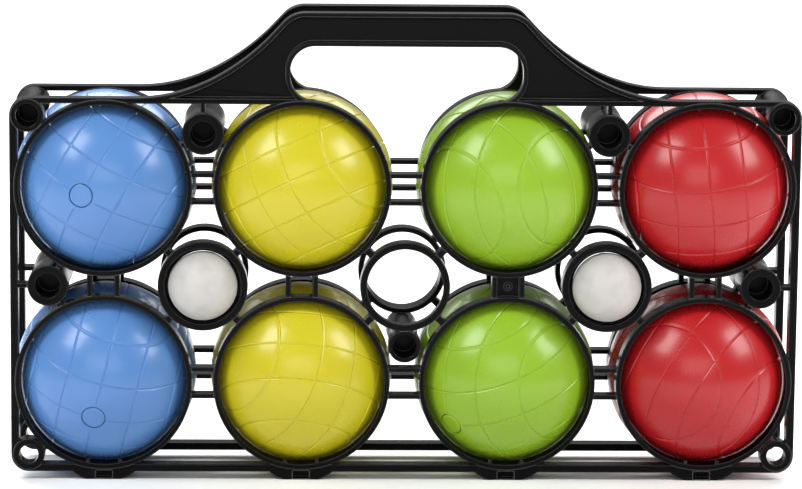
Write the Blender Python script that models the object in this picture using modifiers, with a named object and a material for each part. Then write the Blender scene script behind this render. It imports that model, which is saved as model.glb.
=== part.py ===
"""Bocce ball set: eight water-filled balls and two jacks held between two moulded carrier frames."""

import math

import bmesh
import bpy
from mathutils import Matrix, Vector

# Driving dimensions, in metres. X is along the carrier, +Y is away from the viewer, +Z is up.
BALL_DIAMETER = 0.090
BALL_WALL = 0.0022
BALL_GAP_OUTER = 0.0071
BALL_GAP_CENTRE = 0.0113
BALL_GAP_ROWS = 0.0064
PLUG_DIAMETER = 0.0110
JACK_DIAMETER = 0.0340
JACK_CLEARANCE = 0.0017
JACK_SETBACK = 0.0030
# A lip at the back of each jack collar, which the jack rests against.
LIP_DEPTH = 0.0020

RING_DEPTH = 0.0100
RAIL_DEPTH = 0.0084
RAIL_SETBACK = 0.0006
RING_BITE = 0.0042
RING_WALL = 0.0026
COLLAR_WALL = 0.0034
COLLAR_DRAFT = 0.0008
SIDE_RAIL = 0.0039
TOP_RAIL = 0.0028
BOTTOM_RAIL = 0.0038
SIDE_MARGIN = 0.0021
TOP_MARGIN = 0.0010
BOTTOM_MARGIN = 0.0013
CORNER_RADIUS = 0.0087

ROW_RIB = 0.0024
COLUMN_RIB = 0.0027
RIB_SPREAD = 0.0134
COLLAR_RIB = 0.0034
POST_RIB = 0.0024
GATE_WEB = 0.0016

CORNER_BOSS = 0.0081
CORNER_BORE = 0.0054
UPPER_BOSS = 0.0102
UPPER_BORE = 0.0059
SIDE_BOSS = 0.0100
SIDE_BORE = 0.0058
LOWER_BOSS = 0.0080
LOWER_BORE = 0.0056
EYELET_BOSS = 0.0078
EYELET_BORE = 0.0046
BOSS_RAIL_GAP = 0.0045
BORE_DEPTH = 0.0175
PEG_RADIUS = 0.0027
PEG_LENGTH = 0.0050

FOOT_HEIGHT = 0.0039
FOOT_TOP = 0.0310
FOOT_BOTTOM = 0.0150
FOOT_TOP_PULL = 0.8
FOOT_SHOULDER = 0.3
FOOT_BOTTOM_PULL = 1.2
FOOT_POCKET = 0.0083
FOOT_SKIN = 0.0006
FOOT_POCKET_DEPTH = 0.0050

HANDLE_RISE = 0.0415
HANDLE_BAR = 0.0162
HANDLE_FLAT = 0.0992
HANDLE_CORNER = 0.0143
HANDLE_SLOPE = math.radians(47)
HANDLE_SLOPE_RUN = 0.0080
HANDLE_SWEEP_RUN = 0.0660
SWEEP_START_PULL = 0.45
SWEEP_END_PULL = 0.48
HANDLE_LEAN = 0.0060
HANDLE_FLANGE = 0.0022
HANDLE_WEB = 0.0018
GRIP_WIDTH = 0.1136
GRIP_CORNER = 0.0120

# Clearances and small allowances.
FIT = 0.0003
MERGE = 0.0004
POST_DRAFT = 0.0008
POST_BALL_CLEARANCE = 0.0007
PEG_CLEARANCE = 0.0003
OVERRUN = 0.0020
WELD_DISTANCE = 0.00001

# Facet counts.
RING_SIDES = 24
COLLAR_SIDES = 16
BOSS_SIDES = 10
PEG_SIDES = 8
BALL_STEPS = 14
BALL_ROWS = 7
JACK_STEPS = 14
CURVE_STEPS = 5
CORNER_STEPS = 4
FOOT_STEPS = 3

# Derived layout.
BALL_RADIUS = BALL_DIAMETER / 2
RING_INNER = BALL_RADIUS - RING_BITE
RING_OUTER = RING_INNER + RING_WALL
COLUMN_INNER = (BALL_DIAMETER + BALL_GAP_CENTRE) / 2
COLUMN_OUTER = COLUMN_INNER + BALL_DIAMETER + BALL_GAP_OUTER
COLUMN_MIDDLE = (COLUMN_INNER + COLUMN_OUTER) / 2
ROW_OFFSET = (BALL_DIAMETER + BALL_GAP_ROWS) / 2
COLUMNS = (-COLUMN_OUTER, -COLUMN_INNER, COLUMN_INNER, COLUMN_OUTER)
COLLAR_INNER = JACK_DIAMETER / 2 + JACK_CLEARANCE
COLLAR_OUTER = COLLAR_INNER + COLLAR_WALL
JACK_PLACES = (-COLUMN_MIDDLE, COLUMN_MIDDLE)

HALF_WIDTH = COLUMN_OUTER + RING_OUTER + SIDE_MARGIN
MID_HEIGHT = FOOT_HEIGHT + BOTTOM_MARGIN + RING_OUTER + ROW_OFFSET
RIM_TOP = MID_HEIGHT + ROW_OFFSET + RING_OUTER + TOP_MARGIN
RIM_BOTTOM = FOOT_HEIGHT
ROW_HEIGHTS = (MID_HEIGHT + ROW_OFFSET, MID_HEIGHT - ROW_OFFSET)

# The ball touches the ring's inner edge where its own radius equals the ring's.
FACE_INNER = math.sqrt(BALL_RADIUS**2 - RING_INNER**2) + FIT
FACE_OUTER = FACE_INNER + RING_DEPTH
RAIL_OUTER = FACE_OUTER - RAIL_SETBACK
RAIL_INNER = RAIL_OUTER - RAIL_DEPTH
TIP_GAP = FIT / 2

HANDLE_TOP = RIM_TOP + HANDLE_RISE
GRIP_TOP = HANDLE_TOP - HANDLE_BAR
GRIP_END = GRIP_WIDTH / 2 - GRIP_CORNER
# The rim's free ends lie under the curve of the grip.
RIM_START = GRIP_END + GRIP_CORNER * 0.6
# The lip's bore just clears the jack where it passes through.
LIP_INNER = math.sqrt((JACK_DIAMETER / 2) ** 2 - (RING_DEPTH - JACK_SETBACK - LIP_DEPTH) ** 2) + FIT

CORNER_X = HALF_WIDTH - CORNER_RADIUS
CORNER_TOP_Z = RIM_TOP - CORNER_RADIUS
CORNER_BOTTOM_Z = RIM_BOTTOM + CORNER_RADIUS
UPPER_POST_Z = RIM_TOP - TOP_RAIL - BOSS_RAIL_GAP - UPPER_BOSS
SIDE_POST_X = HALF_WIDTH - SIDE_RAIL - BOSS_RAIL_GAP - SIDE_BOSS
LOWER_POST_Z = MID_HEIGHT - COLLAR_OUTER - LOWER_BOSS + MERGE

# Each post: centre in X and Z, boss radius at the face, bore radius.
POSTS = (
    (-CORNER_X, CORNER_TOP_Z, CORNER_BOSS, CORNER_BORE),
    (CORNER_X, CORNER_TOP_Z, CORNER_BOSS, CORNER_BORE),
    (-COLUMN_MIDDLE, UPPER_POST_Z, UPPER_BOSS, UPPER_BORE),
    (COLUMN_MIDDLE, UPPER_POST_Z, UPPER_BOSS, UPPER_BORE),
    (-SIDE_POST_X, MID_HEIGHT, SIDE_BOSS, SIDE_BORE),
    (SIDE_POST_X, MID_HEIGHT, SIDE_BOSS, SIDE_BORE),
    (0.0, LOWER_POST_Z, LOWER_BOSS, LOWER_BORE),
)

BALL_COLOURS = {
    "blue": (0.13, 0.35, 0.72),
    "yellow": (0.75, 0.70, 0.04),
    "green": (0.36, 0.62, 0.04),
    "red": (0.60, 0.03, 0.04),
}
# How each ball lies in its rings: turns in degrees about X, Y and Z, from its filler plug facing up.
BALL_TURNS = {
    "blue_upper": (92, 29, -12),
    "blue_lower": (110, 14, -1),
    "yellow_upper": (-87, -27, -30),
    "yellow_lower": (-112, 20, 31),
    "green_upper": (-167, -2, -46),
    "green_lower": (117, -1, -44),
    "red_upper": (-70, -6, 0),
    "red_lower": (178, 25, -32),
}


def clear_scene():
    for obj in list(bpy.data.objects):
        bpy.data.objects.remove(obj, do_unlink=True)


def new_collection(name):
    collection = bpy.data.collections.new(name)
    bpy.context.scene.collection.children.link(collection)
    return collection


def principled(name, colour, roughness, metallic=0.0):
    material = bpy.data.materials.new(name)
    material.use_nodes = True
    shader = material.node_tree.nodes["Principled BSDF"]
    shader.inputs["Base Color"].default_value = (*colour, 1.0)
    shader.inputs["Roughness"].default_value = roughness
    shader.inputs["Metallic"].default_value = metallic
    return material


def add_object(name, mesh, collection, material=None):
    obj = bpy.data.objects.new(name, mesh)
    collection.objects.link(obj)
    if material:
        mesh.materials.append(material)
    return obj


def smooth(mesh):
    """Smooth shading, with the corners left sharp."""
    mesh.shade_smooth()
    mesh.set_sharp_from_angle(angle=math.radians(35))


# Flat outlines are lists of (x, z) points.
def arc(centre_x, centre_z, radius, start, end, steps):
    """Points round a centre, from one angle to another in degrees, both ends included."""
    points = []
    for step in range(steps + 1):
        angle = math.radians(start + (end - start) * step / steps)
        points.append((centre_x + radius * math.cos(angle), centre_z + radius * math.sin(angle)))
    return points


def rectangle(left, right, bottom, top):
    return [(left, bottom), (right, bottom), (right, top), (left, top)]


def strip(start, end, width):
    """The four corners of a straight bar between two points."""
    length = math.dist(start, end)
    side_x = -(end[1] - start[1]) / length * width / 2
    side_z = (end[0] - start[0]) / length * width / 2
    return [
        (start[0] - side_x, start[1] - side_z),
        (end[0] - side_x, end[1] - side_z),
        (end[0] + side_x, end[1] + side_z),
        (start[0] + side_x, start[1] + side_z),
    ]


def bezier(start, control_a, control_b, end, steps):
    points = []
    for step in range(steps + 1):
        t = step / steps
        weights = ((1 - t) ** 3, 3 * t * (1 - t) ** 2, 3 * t * t * (1 - t), t**3)
        corners = (start, control_a, control_b, end)
        points.append(tuple(sum(w * p[axis] for w, p in zip(weights, corners)) for axis in (0, 1)))
    return points


def mirrored(half):
    """A half outline at +X, from its top to its bottom, closed by its own mirror image."""
    return half + [(-x, z) for x, z in reversed(half)]


def reversed_mirror(half):
    """The same kind of half outline, walked the other way round."""
    return [(-x, z) for x, z in half] + list(reversed(half))


def inset(points, distance):
    """An open run of points moved to its right-hand side, corner by corner."""
    moved = []
    for index, point in enumerate(points):
        before = Vector(points[max(index - 1, 0)])
        after = Vector(points[min(index + 1, len(points) - 1)])
        here = Vector(point)
        normals = []
        for direction in (here - before, after - here):
            if direction.length > 0:
                direction.normalize()
                normals.append(Vector((direction.y, -direction.x)))
        middle = sum(normals, Vector((0, 0))).normalized()
        stretch = 1 / max(middle.dot(normals[0]), 0.5)
        moved.append(tuple(here + middle * distance * stretch))
    return moved


def plate(name, outlines, front, back, collection):
    """A flat slab from 2D outlines, the first one its edge and any others holes in it."""
    curve = bpy.data.curves.new(name, "CURVE")
    curve.dimensions = "2D"
    curve.fill_mode = "BOTH"
    curve.extrude = abs(back - front) / 2
    for outline in outlines:
        spline = curve.splines.new("POLY")
        spline.points.add(len(outline) - 1)
        for point, (x, z) in zip(spline.points, outline):
            point.co = (x, z, 0, 1)
        spline.use_cyclic_u = True
    flat = bpy.data.objects.new(name, curve)
    collection.objects.link(flat)
    flat.rotation_euler = (math.pi / 2, 0, 0)
    flat.location = (0, (front + back) / 2, 0)
    return to_mesh(flat, collection)


def to_mesh(flat, collection):
    """The curve object remade as a welded mesh in place."""
    bpy.context.view_layer.update()
    evaluated = flat.evaluated_get(bpy.context.evaluated_depsgraph_get())
    mesh = bpy.data.meshes.new_from_object(evaluated)
    mesh.transform(flat.matrix_world)
    name = flat.name
    bpy.data.objects.remove(flat)
    shape = bmesh.new()
    shape.from_mesh(mesh)
    bmesh.ops.remove_doubles(shape, verts=shape.verts, dist=WELD_DISTANCE)
    bmesh.ops.recalc_face_normals(shape, faces=shape.faces)
    shape.to_mesh(mesh)
    shape.free()
    smooth(mesh)
    return add_object(name, mesh, collection)


def turned(name, runs, steps, collection, material=None):
    """Runs of (radius, height) points swept about their own Z axis with a Screw modifier."""
    vertices = []
    edges = []
    for run in runs:
        start = len(vertices)
        vertices += [(radius, 0, height) for radius, height in run]
        edges += [(index, index + 1) for index in range(start, len(vertices) - 1)]
    if runs[0][0][0] > 0:
        edges.append((len(vertices) - 1, 0))
    mesh = bpy.data.meshes.new(name)
    mesh.from_pydata(vertices, edges, [])
    obj = add_object(name, mesh, collection, material)
    screw = obj.modifiers.new("Turn", "SCREW")
    screw.steps = steps
    screw.render_steps = steps
    screw.use_merge_vertices = True
    screw.merge_threshold = WELD_DISTANCE
    return obj


def cone(name, centre_x, centre_z, radius_start, radius_end, start, end, sides, collection):
    """A round bar along Y, from one depth to another, with its flats at the radii."""
    low, high = sorted((start, end))
    radii = {start: radius_start, end: radius_end}
    flat = math.cos(math.pi / sides)
    shape = bmesh.new()
    bmesh.ops.create_cone(
        shape,
        cap_ends=True,
        segments=sides,
        radius1=radii[high] / flat,
        radius2=radii[low] / flat,
        depth=high - low,
        matrix=Matrix.Rotation(math.pi / 2, 4, "X") @ Matrix.Rotation(math.pi / sides, 4, "Z"),
    )
    mesh = bpy.data.meshes.new(name)
    shape.to_mesh(mesh)
    shape.free()
    smooth(mesh)
    obj = add_object(name, mesh, collection)
    obj.location = (centre_x, (low + high) / 2, centre_z)
    return obj


def rim_edge(left_out, top, bottom, radius):
    """The rim's edge at +X from the hand opening round to the bottom, on its outer or inner side."""
    side = HALF_WIDTH - left_out
    run = [(RIM_START, top)]
    run += arc(side - radius, top - radius, radius, 90, 0, CORNER_STEPS)
    run += arc(side - radius, bottom + radius, radius, 0, -90, CORNER_STEPS)
    return run


def rim_shapes(outer, inner, shapes):
    """The rim with rounded corners, open along its top where the hand reaches in."""
    outside = rim_edge(0, RIM_TOP, RIM_BOTTOM, CORNER_RADIUS)
    inner_radius = CORNER_RADIUS - SIDE_RAIL
    inside = rim_edge(SIDE_RAIL, RIM_TOP - TOP_RAIL, RIM_BOTTOM + BOTTOM_RAIL, inner_radius)
    return plate("rim", [mirrored(outside) + reversed_mirror(inside)], outer, inner, shapes)


def ring_shapes(outer, inner, shapes):
    """Solid discs, which the holes are cut through later."""
    for column in COLUMNS:
        for height in ROW_HEIGHTS:
            cone("ring", column, height, RING_OUTER, RING_OUTER, outer, inner, RING_SIDES, shapes)
    for centre_x in (-COLUMN_MIDDLE, 0.0, COLUMN_MIDDLE):
        cone(
            "collar", centre_x, MID_HEIGHT, COLLAR_OUTER, COLLAR_OUTER,
            outer, inner, COLLAR_SIDES, shapes,
        )


def rib_shapes(outer, inner, shapes):
    """Short bars that join neighbouring rings, collars, bosses and rails."""
    reach = RING_OUTER - RING_WALL / 2
    for sign in (-1, 1):
        side = sign * RIB_SPREAD / 2
        half_chord = math.sqrt(reach**2 - (RIB_SPREAD / 2) ** 2)
        for column in COLUMNS:
            ends = (ROW_HEIGHTS[1] + half_chord, ROW_HEIGHTS[0] - half_chord)
            bar = strip((column + side, ends[0]), (column + side, ends[1]), COLUMN_RIB)
            plate("column_rib", [bar], outer, inner, shapes)
        for height in ROW_HEIGHTS:
            for left, right in zip(COLUMNS, COLUMNS[1:]):
                bar = strip(
                    (left + half_chord, height + side), (right - half_chord, height + side), ROW_RIB
                )
                plate("row_rib", [bar], outer, inner, shapes)
    for centre_x in (-COLUMN_MIDDLE, 0.0, COLUMN_MIDDLE):
        for column in COLUMNS:
            if abs(column - centre_x) > BALL_DIAMETER:
                continue
            for height in ROW_HEIGHTS:
                start = Vector((centre_x, MID_HEIGHT))
                way = Vector((column, height)) - start
                stop = start + way * (1 - reach / way.length)
                start = start + way.normalized() * (COLLAR_OUTER - COLLAR_WALL / 2)
                plate("collar_rib", [strip(start, stop, COLLAR_RIB)], outer, inner, shapes)
    for sign in (-1, 1):
        top = (sign * COLUMN_MIDDLE, RIM_TOP - TOP_RAIL / 2)
        plate(
            "post_rib", [strip((top[0], UPPER_POST_Z + UPPER_BORE), top, POST_RIB)], outer, inner, shapes
        )
        side = (sign * (HALF_WIDTH - SIDE_RAIL / 2), MID_HEIGHT)
        inside = (sign * (SIDE_POST_X + SIDE_BORE), MID_HEIGHT)
        plate("post_rib", [strip(inside, side, POST_RIB)], outer, inner, shapes)
        for boss_x, boss_z, boss, column, height in (
            (COLUMN_MIDDLE, UPPER_POST_Z, UPPER_BOSS, COLUMN_INNER, ROW_HEIGHTS[0]),
            (COLUMN_MIDDLE, UPPER_POST_Z, UPPER_BOSS, COLUMN_OUTER, ROW_HEIGHTS[0]),
            (SIDE_POST_X, MID_HEIGHT, SIDE_BOSS, COLUMN_OUTER, ROW_HEIGHTS[0]),
            (SIDE_POST_X, MID_HEIGHT, SIDE_BOSS, COLUMN_OUTER, ROW_HEIGHTS[1]),
            (0.0, LOWER_POST_Z, LOWER_BOSS, COLUMN_INNER, ROW_HEIGHTS[1]),
        ):
            start = Vector((sign * boss_x, boss_z))
            way = Vector((sign * column, height)) - start
            stop = start + way * (1 - reach / way.length)
            start = start + way.normalized() * (boss - POST_RIB / 2)
            plate("boss_rib", [strip(start, stop, POST_RIB)], outer, inner, shapes)


def gate_shapes(outer, inner, shapes):
    """The thin web between one pair of column ribs, where the mould was filled."""
    middle = (outer + inner) / 2
    half = math.copysign(GATE_WEB / 2, outer)
    reach = ROW_OFFSET - RING_OUTER + RING_WALL / 2
    web = rectangle(
        COLUMN_INNER - RIB_SPREAD / 2, COLUMN_INNER + RIB_SPREAD / 2, MID_HEIGHT - reach, MID_HEIGHT + reach
    )
    plate("gate_web", [web], middle + half, middle - half, shapes)


def foot_shapes(outer, inner, shapes):
    """Curved feet below the lower rings, each with a pocket open to the front."""
    for column in COLUMNS:
        half = bezier(
            (FOOT_TOP / 2, RIM_BOTTOM),
            (FOOT_TOP / 2 * FOOT_TOP_PULL, RIM_BOTTOM * FOOT_SHOULDER),
            (FOOT_BOTTOM / 2 * FOOT_BOTTOM_PULL, 0),
            (FOOT_BOTTOM / 2, 0),
            FOOT_STEPS,
        )
        run = [(FOOT_TOP / 2, RIM_BOTTOM + BOTTOM_RAIL / 2)] + half
        outline = [(column + x, z) for x, z in mirrored(run)]
        plate("foot", [outline], outer, inner, shapes)


def handle_outline():
    """The handle's top edge at +X, from the middle out to the rim."""
    corner_x = HANDLE_FLAT / 2
    turn = math.degrees(HANDLE_SLOPE)
    points = [(0.0, HANDLE_TOP)]
    points += arc(corner_x, HANDLE_TOP - HANDLE_CORNER, HANDLE_CORNER, 90, 90 - turn, CORNER_STEPS)
    way = Vector((math.cos(HANDLE_SLOPE), -math.sin(HANDLE_SLOPE)))
    start = Vector(points[-1]) + way * HANDLE_SLOPE_RUN
    end = (start.x + HANDLE_SWEEP_RUN, RIM_TOP)
    pull = start + way * (start.y - RIM_TOP) * SWEEP_START_PULL
    level = (end[0] - HANDLE_SWEEP_RUN * SWEEP_END_PULL, RIM_TOP)
    return points + bezier(start, pull, level, end, CURVE_STEPS)


def grip_outline():
    """The hand opening's edge at +X, from the middle of its top to the ring below."""
    low = RIM_TOP + GRIP_CORNER - TOP_MARGIN - MERGE
    points = [(0.0, GRIP_TOP)]
    points += arc(GRIP_END, GRIP_TOP - GRIP_CORNER, GRIP_CORNER, 90, 0, CORNER_STEPS)
    points += arc(GRIP_END, low, GRIP_CORNER, 0, -90, CORNER_STEPS)
    return points


def handle_shapes(outer, inner, shapes):
    """The handle: an outer flange and a grip flange standing on a web along the inner face."""
    edge = handle_outline()
    grip = grip_outline()
    floor = RIM_TOP - TOP_RAIL / 2
    web_front = inner + math.copysign(HANDLE_WEB, outer)
    edge_foot = (edge[-1][0], floor)
    web = edge + [edge_foot, (GRIP_END, floor)] + list(reversed(grip))
    edge_flange = edge + [edge_foot] + list(reversed(inset(edge, HANDLE_FLANGE)))
    grip_flange = grip + inset(list(reversed(grip)), HANDLE_FLANGE)
    for sign in (-1, 1):
        for name, outline, front in (
            ("handle_web", web, web_front),
            ("edge_flange", edge_flange, outer),
            ("grip_flange", grip_flange, outer),
        ):
            # Each half runs a little past the middle, so that the two halves join.
            side = [(sign * (x if x > WELD_DISTANCE else -MERGE), z) for x, z in outline]
            lean(plate(name, [side], front, inner, shapes), outer)


def lean(obj, outer):
    """Moves what stands above the rim towards the middle of the carrier, more the higher it is."""
    for vertex in obj.data.vertices:
        share = max(0.0, (vertex.co.z - RIM_TOP) / HANDLE_RISE)
        vertex.co.y -= math.copysign(HANDLE_LEAN * share, outer)


def nearest_ball(centre):
    """Distance from a point of the X-Z plane to the nearest ball's centre."""
    return min(math.dist(centre, (column, height)) for column in COLUMNS for height in ROW_HEIGHTS)


def build_frame(name, facing, parts, cutters, material):
    """One moulding. facing is -1 for the front frame and +1 for the rear one."""
    outer = facing * FACE_OUTER
    inner = facing * FACE_INNER
    rail_faces = (facing * RAIL_OUTER, facing * RAIL_INNER)
    tip = facing * TIP_GAP
    shapes = new_collection(name + "_shapes")
    base = rim_shapes(*rail_faces, shapes)
    ring_shapes(outer, inner, shapes)
    rib_shapes(*rail_faces, shapes)
    gate_shapes(*rail_faces, shapes)
    foot_shapes(*rail_faces, shapes)
    handle_shapes(*rail_faces, shapes)
    for centre_x, centre_z, boss, _ in POSTS:
        room = nearest_ball((centre_x, centre_z)) - BALL_RADIUS - POST_BALL_CLEARANCE
        tip_radius = min(boss - POST_DRAFT, room)
        cone("boss", centre_x, centre_z, boss, boss, outer, inner, BOSS_SIDES, shapes)
        overlap = inner + math.copysign(MERGE, outer)
        cone("post", centre_x, centre_z, boss, tip_radius, overlap, tip, BOSS_SIDES, shapes)
        if facing > 0:
            end = -PEG_LENGTH
            root = tip + MERGE
            cone("peg", centre_x, centre_z, PEG_RADIUS, PEG_RADIUS, root, end, PEG_SIDES, shapes)
    for sign in (-1, 1):
        cone(
            "eyelet", sign * CORNER_X, CORNER_BOTTOM_Z, EYELET_BOSS, EYELET_BOSS,
            outer, inner, BOSS_SIDES, shapes,
        )

    shapes.objects.unlink(base)
    parts.objects.link(base)
    base.name = name
    base.data.name = name
    base.data.materials.append(material)
    union = base.modifiers.new("Join", "BOOLEAN")
    union.operation = "UNION"
    union.operand_type = "COLLECTION"
    union.collection = shapes
    union.solver = "MANIFOLD"

    holes = new_collection(name + "_holes")
    past = outer + math.copysign(OVERRUN, outer)
    for centre_x, centre_z, _, bore in POSTS:
        depth = outer - math.copysign(BORE_DEPTH, outer)
        cone("bore", centre_x, centre_z, bore, bore, past, depth, BOSS_SIDES, holes)
        if facing < 0:
            socket = PEG_RADIUS + PEG_CLEARANCE
            mouth = tip + OVERRUN
            end = -PEG_LENGTH - PEG_CLEARANCE
            cone("socket", centre_x, centre_z, socket, socket, mouth, end, PEG_SIDES, holes)
    behind = inner - math.copysign(OVERRUN, outer)
    for sign in (-1, 1):
        cone(
            "eyelet_hole", sign * CORNER_X, CORNER_BOTTOM_Z, EYELET_BORE, EYELET_BORE,
            past, behind, BOSS_SIDES, holes,
        )
    draft = COLLAR_DRAFT * (RING_DEPTH + OVERRUN) / RING_DEPTH
    lip = inner + math.copysign(LIP_DEPTH, outer)
    for centre_x in (-COLUMN_MIDDLE, 0.0, COLUMN_MIDDLE):
        stopped = facing < 0 and centre_x in JACK_PLACES
        cone(
            "collar_hole", centre_x, MID_HEIGHT, COLLAR_INNER, COLLAR_INNER + draft,
            past, lip if stopped else behind, COLLAR_SIDES, holes,
        )
        if stopped:
            cone(
                "lip_hole", centre_x, MID_HEIGHT, LIP_INNER, LIP_INNER, past, behind, COLLAR_SIDES, holes
            )
    for column in COLUMNS:
        for height in ROW_HEIGHTS:
            cone("ring_hole", column, height, RING_INNER, RING_INNER, past, behind, RING_SIDES, holes)
        pocket = rectangle(column - FOOT_POCKET / 2, column + FOOT_POCKET / 2, FOOT_SKIN, RIM_BOTTOM)
        depth = outer - math.copysign(FOOT_POCKET_DEPTH, outer)
        plate("pocket", [pocket], past, depth, holes)
    cut = base.modifiers.new("Bores", "BOOLEAN")
    cut.operation = "DIFFERENCE"
    cut.operand_type = "COLLECTION"
    cut.collection = holes
    cut.solver = "MANIFOLD"
    for helper in (*shapes.objects, *holes.objects):
        helper.hide_render = True
        helper.display_type = "WIRE"
    for group in (shapes, holes):
        bpy.context.scene.collection.children.unlink(group)
        cutters.children.link(group)
    return base


def sphere_arc(radius, start, end, steps):
    """(radius, height) points on a circle, by angle in degrees down from the top."""
    points = []
    for step in range(steps + 1):
        angle = math.radians(start + (end - start) * step / steps)
        points.append((max(0.0, radius * math.sin(angle)), radius * math.cos(angle)))
    return points


def build_ball(name, centre, turns, parts, skin, water, plug_material):
    """A thin shell with a filler hole, the water in it, and the plug in the hole, turned as it lies."""
    hole = math.degrees(math.asin((PLUG_DIAMETER / 2 + FIT) / BALL_RADIUS))
    cavity = BALL_RADIUS - BALL_WALL
    outside = sphere_arc(BALL_RADIUS, hole, 180, BALL_ROWS)
    inside = sphere_arc(cavity, 180, hole, BALL_ROWS)
    shell = turned(name + "_ball_shell", [outside, inside], BALL_STEPS, parts, skin)
    level = sphere_arc(cavity - FIT, hole, 180, BALL_ROWS)
    level.insert(0, (0, level[0][1]))
    fill = turned(name + "_water_fill", [level], BALL_STEPS, parts, water)
    edge = PLUG_DIAMETER / 2
    top = math.sqrt(BALL_RADIUS**2 - edge**2)
    stopper = [(0, BALL_RADIUS), (edge, top), (edge, cavity), (0, cavity)]
    plug = turned(name + "_filler_plug", [stopper], PEG_SIDES, parts, plug_material)
    for piece in (shell, fill, plug):
        piece.rotation_euler = [math.radians(turn) for turn in turns]
        piece.location = centre


def build_jack(name, centre_x, parts, material):
    radius = JACK_DIAMETER / 2
    jack = turned(name, [sphere_arc(radius, 0, 180, JACK_STEPS // 2)], JACK_STEPS, parts, material)
    jack.rotation_euler = (math.pi / 2, 0, 0)
    jack.location = (centre_x, JACK_SETBACK - FACE_OUTER, MID_HEIGHT)
    return jack


def main():
    clear_scene()
    parts = new_collection("bocce_ball_set")
    cutters = new_collection("cutters")
    black = principled("black_moulding", (0.012, 0.012, 0.013), 0.35)
    water = principled("water", (0.60, 0.72, 0.78), 0.1)
    jack_white = principled("jack_white", (0.72, 0.71, 0.69), 0.45)
    build_frame("front_frame", -1, parts, cutters, black)
    build_frame("rear_frame", 1, parts, cutters, black)
    for (colour, rgb), column in zip(BALL_COLOURS.items(), COLUMNS):
        skin = principled(colour + "_skin", rgb, 0.25)
        plug = principled(colour + "_plug", rgb, 0.30)
        for row, height in zip(("upper", "lower"), ROW_HEIGHTS):
            name = colour + "_" + row
            build_ball(name, (column, 0, height), BALL_TURNS[name], parts, skin, water, plug)
    build_jack("jack_left", -COLUMN_MIDDLE, parts, jack_white)
    build_jack("jack_right", COLUMN_MIDDLE, parts, jack_white)


main()
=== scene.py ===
import math

import bmesh
import bpy
from mathutils import Euler, Matrix, Vector


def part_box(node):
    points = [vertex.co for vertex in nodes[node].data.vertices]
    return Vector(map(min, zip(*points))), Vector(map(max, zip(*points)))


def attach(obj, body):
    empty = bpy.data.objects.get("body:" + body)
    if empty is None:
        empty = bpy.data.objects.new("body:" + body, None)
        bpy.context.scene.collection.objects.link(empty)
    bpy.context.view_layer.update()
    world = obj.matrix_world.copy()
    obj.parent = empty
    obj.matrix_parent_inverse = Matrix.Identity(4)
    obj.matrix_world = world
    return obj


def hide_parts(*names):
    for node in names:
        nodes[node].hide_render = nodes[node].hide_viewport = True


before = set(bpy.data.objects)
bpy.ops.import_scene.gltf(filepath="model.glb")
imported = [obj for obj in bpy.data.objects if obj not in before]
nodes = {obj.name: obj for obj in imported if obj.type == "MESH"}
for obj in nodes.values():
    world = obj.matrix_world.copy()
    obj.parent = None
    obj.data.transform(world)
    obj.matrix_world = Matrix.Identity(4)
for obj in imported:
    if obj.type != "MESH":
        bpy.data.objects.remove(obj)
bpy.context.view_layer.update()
mm = 0.001  # sizes below are in millimetres
print("frame loaded:", len(nodes), "nodes")

# the lattice that holds the balls; places come from the frame's boxes further down
carrier = {
    "ringBore": 40.8,
    "ringWall": 2.6,
    "ringDepth": 10.0,
    "collarBore": 18.7,
    "collarWall": 3.4,
    "collarDraft": 0.8,
    "sideRail": 3.9,
    "topRail": 2.8,
    "bottomRail": 3.9,
    "railSetback": 0.6,
    "railDepth": 8.4,
    "cornerRadius": 8.7,
    "sideMargin": 2.1,
    "topMargin": 1.0,
    "bottomMargin": 1.3,
    "softEdge": 0.45,
    "columnRib": 2.7,
    "rowRib": 2.4,
    "ribSpread": 13.4,
    "collarRib": 3.4,
    "bossRib": 2.4,
    "webThickness": 1.6,
    "lipDepth": 2.0,
    "lipBore": 16.5,
    "lipOverlap": 1,
    "bottomTrim": 0.1,
    "cornerSteps": 10,
    "ringSteps": 112,
    "collarSteps": 72,
    "flatAngle": 32,
}
feet = {
    "height": 3.9,
    "top": 31.0,
    "bottom": 15.0,
    "pocket": 8.3,
    "pocketDepth": 5.0,
    "skin": 0.6,
    "nubSpread": 7.8,
    "nubWidth": 1.5,
    "nubHeight": 1.2,
    "nubRoot": 1.0,
    "nubReach": 0.97,
    "nubSoftEdge": 0.25,
    "topPull": 0.8,
    "shoulder": 0.3,
    "bottomPull": 1.2,
    "curveSteps": 8,
    "softEdge": 0.3,
    "pocketOver": 0.6,
    "pocketSoftEdge": 0.15,
}
handle = {
    "rise": 41.5,
    "bar": 16.2,
    "flat": 99.2,
    "corner": 14.3,
    "slope": math.radians(47),
    "slopeRun": 8.0,
    "sweepRun": 66.0,
    "sweepStartPull": 0.45,
    "sweepEndPull": 0.48,
    "lean": 6.0,
    "flange": 2.2,
    "web": 1.8,
    "gripWidth": 113.6,
    "gripCorner": 12.0,
    "gripSink": 0.4,
    "rimTuck": 0.6,
    "cornerSteps": 12,
    "gripSteps": 14,
    "sweepSteps": 24,
}
ball = {
    "radius": 45.0,
    "gapOuter": 7.1,
    "grooveSpacing": 17.3,
    "grooveWidth": 1.5,
    "grooveDepth": 0.42,
    "groovesEachWay": 2,
    "plugRadius": 5.5,
    "plugSeam": 0.55,
    "plugDepth": 1.9,
    "wall": 2.2,
    "steps": 128,
    "rows": 64,
    "hollowSteps": 48,
    "hollowRows": 24,
    "holeStep": 0.35,
    "holeShrink": 0.2,
    "sharpAngle": 55,
}
overrun = 2  # how far a cutter runs past the face that it cuts

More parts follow.
